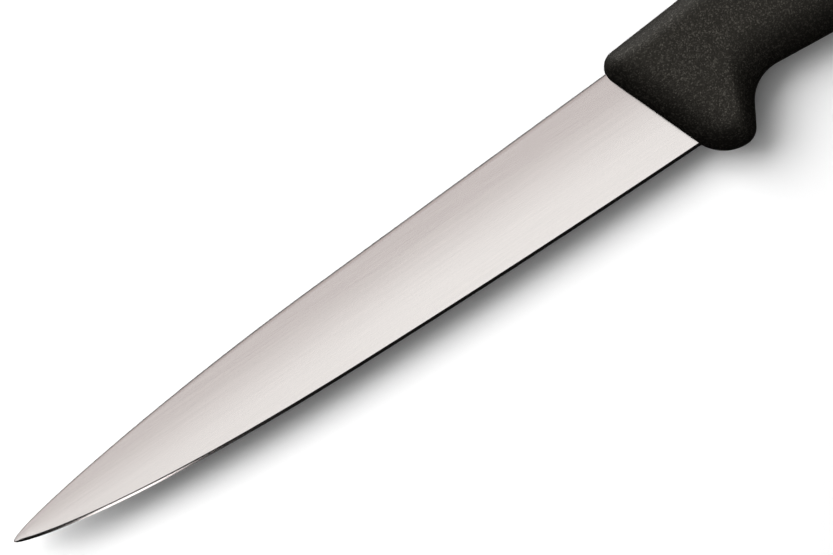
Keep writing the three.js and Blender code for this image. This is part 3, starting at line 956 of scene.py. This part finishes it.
class KNIFE_OT_blade(bpy.types.Operator):
    """Makes the ground blade with its tang"""

    bl_idname = "knife.blade"
    bl_label = "Ground blade"

    def execute(self, context):
        blade = context.scene.knife_blade
        grip = context.scene.knife_grip
        origin = knife_origin(blade, grip)
        tip = -blade.length
        tang_end = BLADE_HIGH.x - origin[0]
        blade_x = tip + (blade.heel_seat - tip) * np.linspace(0, 1, BLADE_STATIONS) ** CROWDING
        tang_steps = (1 - np.cos(np.linspace(0, math.pi, TANG_STATIONS))) / 2
        tang_x = blade.heel_seat + (tang_end - blade.heel_seat) * tang_steps
        rings = np.vstack(
            [
                blade_rings(blade_x, blade_section(blade, blade_x)),
                blade_rings(tang_x, tang_section(blade, tang_end, tang_x)),
            ]
        )
        end = np.broadcast_to(rings[-1].mean(axis=0), rings[-1].shape)
        rings = np.vstack([rings, end[None]]) + origin
        half_columns = rings.shape[1] // 2
        bevel_start = half_columns - BEVEL_STEPS
        sharp = (bevel_start, half_columns, rings.shape[1] - bevel_start)
        mesh = tube_mesh("ground_blade", rings, sharp)
        column = np.arange(len(mesh.polygons)) % rings.shape[1]
        row = np.arange(len(mesh.polygons)) // rings.shape[1]
        on_bevel = (column >= sharp[0]) & (column < sharp[2]) & (row < BLADE_STATIONS - 1)
        mesh.polygons.foreach_set("material_index", on_bevel.astype(np.int32))
        merge_doubles(mesh)
        finish = context.scene.knife_finish
        mesh.materials.append(satin_steel(finish))
        mesh.materials.append(honed_bevel(finish))
        piece = add_piece("ground_blade", mesh, "blade")
        hole_x = np.linspace(blade.first_hole, tang_end - blade.last_hole_cover, blade.hole_count)
        middles = np.stack([hole_x, 0 * hole_x + blade.tang_middle, 0 * hole_x], axis=-1) + origin
        drill(piece, middles, blade.hole_diameter / 2, blade.tang_stock)
        return {"FINISHED"}


class KNIFE_OT_grip(bpy.types.Operator):
    """Makes the moulded grip: a shell round the core with a mouth for the blade"""

    bl_idname = "knife.grip"
    bl_label = "Moulded grip"

    def execute(self, context):
        blade = context.scene.knife_blade
        grip = context.scene.knife_grip
        outside = grip_rings(grip, 0, grip.seam_height)
        inside = grip_rings(grip, grip.wall, 0)
        mouth = mouth_ring(blade, grip, outside[0])
        throat = mouth + (grip.wall, 0, 0)
        inner_rear = np.broadcast_to(inside[-1].mean(axis=0), inside[-1].shape)
        outer_rear = np.broadcast_to(outside[-1].mean(axis=0), outside[-1].shape)
        rings = np.vstack(
            [inner_rear[None], inside[::-1], throat[None], mouth[None], outside, outer_rear[None]]
        )
        mesh = tube_mesh("grained_grip", rings + knife_origin(blade, grip))
        merge_doubles(mesh)
        add_piece("grained_grip", mesh, "grip_skin")
        mesh.materials.append(grained_grip(context.scene.knife_finish))
        return {"FINISHED"}


class KNIFE_OT_core(bpy.types.Operator):
    """Gives the core inside the grip its finish"""

    bl_idname = "knife.core"
    bl_label = "Core finish"

    def execute(self, context):
        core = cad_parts["handle_core"]
        core.data.materials.clear()
        core.data.materials.append(moulded_core(context.scene.knife_finish))
        return {"FINISHED"}


def gather(name, objects):
    """A collection of objects that a light is linked to."""
    collection = bpy.data.collections.new(name)
    for one in objects:
        collection.objects.link(one)
    return collection


def softbox(name, middle, azimuth, elevation, distance, sides, watts, receivers, blockers=None):
    """A soft rectangular light that faces the knife from a direction given in degrees. The camera
    doesn't see it, it lights only its receivers, and its shadow rays stop only at its blockers, if
    any are given."""
    light = bpy.data.lights.new(name, "AREA")
    light.shape = "RECTANGLE"
    light.size, light.size_y = sides
    light.energy = watts
    turn = Euler((0, math.radians(90 - elevation), math.radians(azimuth)))
    lamp = bpy.data.objects.new(name, light)
    toward = Vector((0, 0, 1))
    toward.rotate(turn)
    lamp.location = middle + distance * toward
    lamp.rotation_euler = turn
    lamp.visible_camera = False
    lamp.light_linking.receiver_collection = gather(name + "_receivers", receivers)
    if blockers:
        lamp.light_linking.blocker_collection = gather(name + "_blockers", blockers)
    bpy.context.scene.collection.objects.link(lamp)
    return lamp


def studio_world(studio):
    """A room that the camera sees as a white backdrop and that is nearly black for all else."""
    world = bpy.data.worlds.new("studio")
    world.use_nodes = True
    tree = world.node_tree
    tree.nodes.clear()
    path = place(tree, "ShaderNodeLightPath")
    seen = place(tree, "ShaderNodeBackground", {"Color": WHITE, "Strength": studio.backdrop})
    room = place(tree, "ShaderNodeBackground", {"Color": WHITE, "Strength": studio.ambient})
    mixed = place(tree, "ShaderNodeMixShader", {0: path.outputs["Is Camera Ray"]})
    tree.links.new(room.outputs["Background"], mixed.inputs[1])
    tree.links.new(seen.outputs["Background"], mixed.inputs[2])
    place(tree, "ShaderNodeOutputWorld", {"Surface": mixed.outputs["Shader"]})
    return world


class KNIFE_OT_studio(bpy.types.Operator):
    """Makes the floor, the lights and the camera"""

    bl_idname = "knife.studio"
    bl_label = "Studio"

    def execute(self, context):
        scene = context.scene
        studio = scene.knife_studio
        origin = knife_origin(scene.knife_blade, scene.knife_grip)
        middle = Vector(origin) + Vector((studio.view_x, studio.view_y, 0))

        side = studio.floor_side / 2
        floor_mesh = bpy.data.meshes.new("floor")
        floor_mesh.from_pydata(
            [(-side, -side, 0), (side, -side, 0), (side, side, 0), (-side, side, 0)], [], [(0, 1, 2, 3)]
        )
        paper = bpy.data.materials.new("white_paper")
        paper.use_nodes = True
        shader = paper.node_tree.nodes["Principled BSDF"]
        shader.inputs["Base Color"].default_value = (*studio.floor, 1)
        shader.inputs["Roughness"].default_value = PAPER_ROUGHNESS
        shader.inputs["Specular IOR Level"].default_value = 0.0
        floor_mesh.materials.append(paper)
        floor = bpy.data.objects.new("floor", floor_mesh)
        scene.collection.objects.link(floor)

        blade = [bpy.data.objects["ground_blade"]]
        grip = [bpy.data.objects["grained_grip"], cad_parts["handle_core"]]
        # The lights of the blade and the floor aren't to reach the other pieces by reflection
        blade[0].visible_glossy = False
        floor.visible_glossy = False
        floor.visible_diffuse = False
        receivers = {name: [floor] for name in ("key", "fill", "low_fill")}
        receivers.update(overhead=grip, strip=grip)
        blockers = {"strip": grip}
        tints = {"ceiling": studio.ceiling_tint, "card": studio.card_tint}
        for name, where in LIGHTS.items():
            lit = receivers.get(name, blade)
            lamp = softbox(name, middle, *where, getattr(studio, name), lit, blockers.get(name))
            lamp.data.color = tints.get(name, WHITE[:3])
        for azimuth, elevation, tall in SIDE_LIGHTS:
            watts = studio.side * tall
            sides = (tall, SIDE_WIDTH)
            softbox(f"side_{azimuth}", middle, azimuth, elevation, SIDE_DISTANCE, sides, watts, blade)
        scene.world = studio_world(studio)

        data = bpy.data.cameras.new("camera")
        data.lens = studio.lens
        data.sensor_width = SENSOR_WIDTH
        data.clip_end = VIEW_END
        camera = bpy.data.objects.new("camera", data)
        camera.location = middle + Vector((0, 0, studio.view_width * studio.lens / SENSOR_WIDTH))
        camera.rotation_euler = Euler((0, 0, studio.view_turn))
        scene.collection.objects.link(camera)
        scene.camera = camera
        scene.view_settings.view_transform = "Standard"
        return {"FINISHED"}


class KNIFE_PT_panel(bpy.types.Panel):
    """Lists the knife's operators in the sidebar"""

    bl_idname = "KNIFE_PT_panel"
    bl_label = "Filleting knife"
    bl_space_type = "VIEW_3D"
    bl_region_type = "UI"
    bl_category = "Knife"

    def draw(self, context):
        for operator in OPERATORS:
            self.layout.operator(operator.bl_idname)


OPERATORS = (KNIFE_OT_blade, KNIFE_OT_grip, KNIFE_OT_core, KNIFE_OT_studio)
CLASSES = (*PROPERTY_GROUPS.values(), *OPERATORS, KNIFE_PT_panel)


def register():
    """Adds the classes and the scene's properties."""
    for cls in CLASSES:
        bpy.utils.register_class(cls)
    for name, group in PROPERTY_GROUPS.items():
        setattr(bpy.types.Scene, name, PointerProperty(type=group))


def unregister():
    """Takes them away again."""
    for name in PROPERTY_GROUPS:
        delattr(bpy.types.Scene, name)
    for cls in reversed(CLASSES):
        bpy.utils.unregister_class(cls)


def main():
    """Makes the knife and its studio."""
    register()
    bpy.ops.knife.blade()
    bpy.ops.knife.grip()
    bpy.ops.knife.core()
    bpy.ops.knife.studio()


if __name__ == "__main__":
    main()
